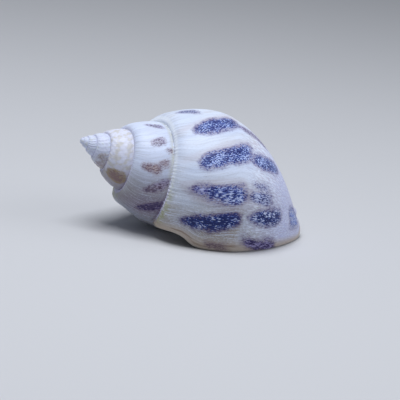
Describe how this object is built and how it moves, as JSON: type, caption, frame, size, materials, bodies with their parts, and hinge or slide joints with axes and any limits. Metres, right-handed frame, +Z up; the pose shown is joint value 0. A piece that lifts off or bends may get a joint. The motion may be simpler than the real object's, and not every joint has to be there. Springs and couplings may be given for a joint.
{
  "type": "nassa snail shell",
  "caption": "Empty right-handed sea snail shell with a pointed spire, rounded whorls and a wide aperture, lying on its aperture.",
  "frame": {"origin": "on the floor, under the middle of the shell's box", "axes": "+Z up; the spire points to -X and the siphonal end to +X; the outer lip is on the -Y side"},
  "size_m": [0.0328, 0.0208, 0.017],
  "materials": {
    "shell": "ivory shell with rows of dark blue-grey blotches, satin sheen, glossy inside"
  },
  "bodies": {
    "root": {"shell": "shell"}
  },
  "joints": []
}
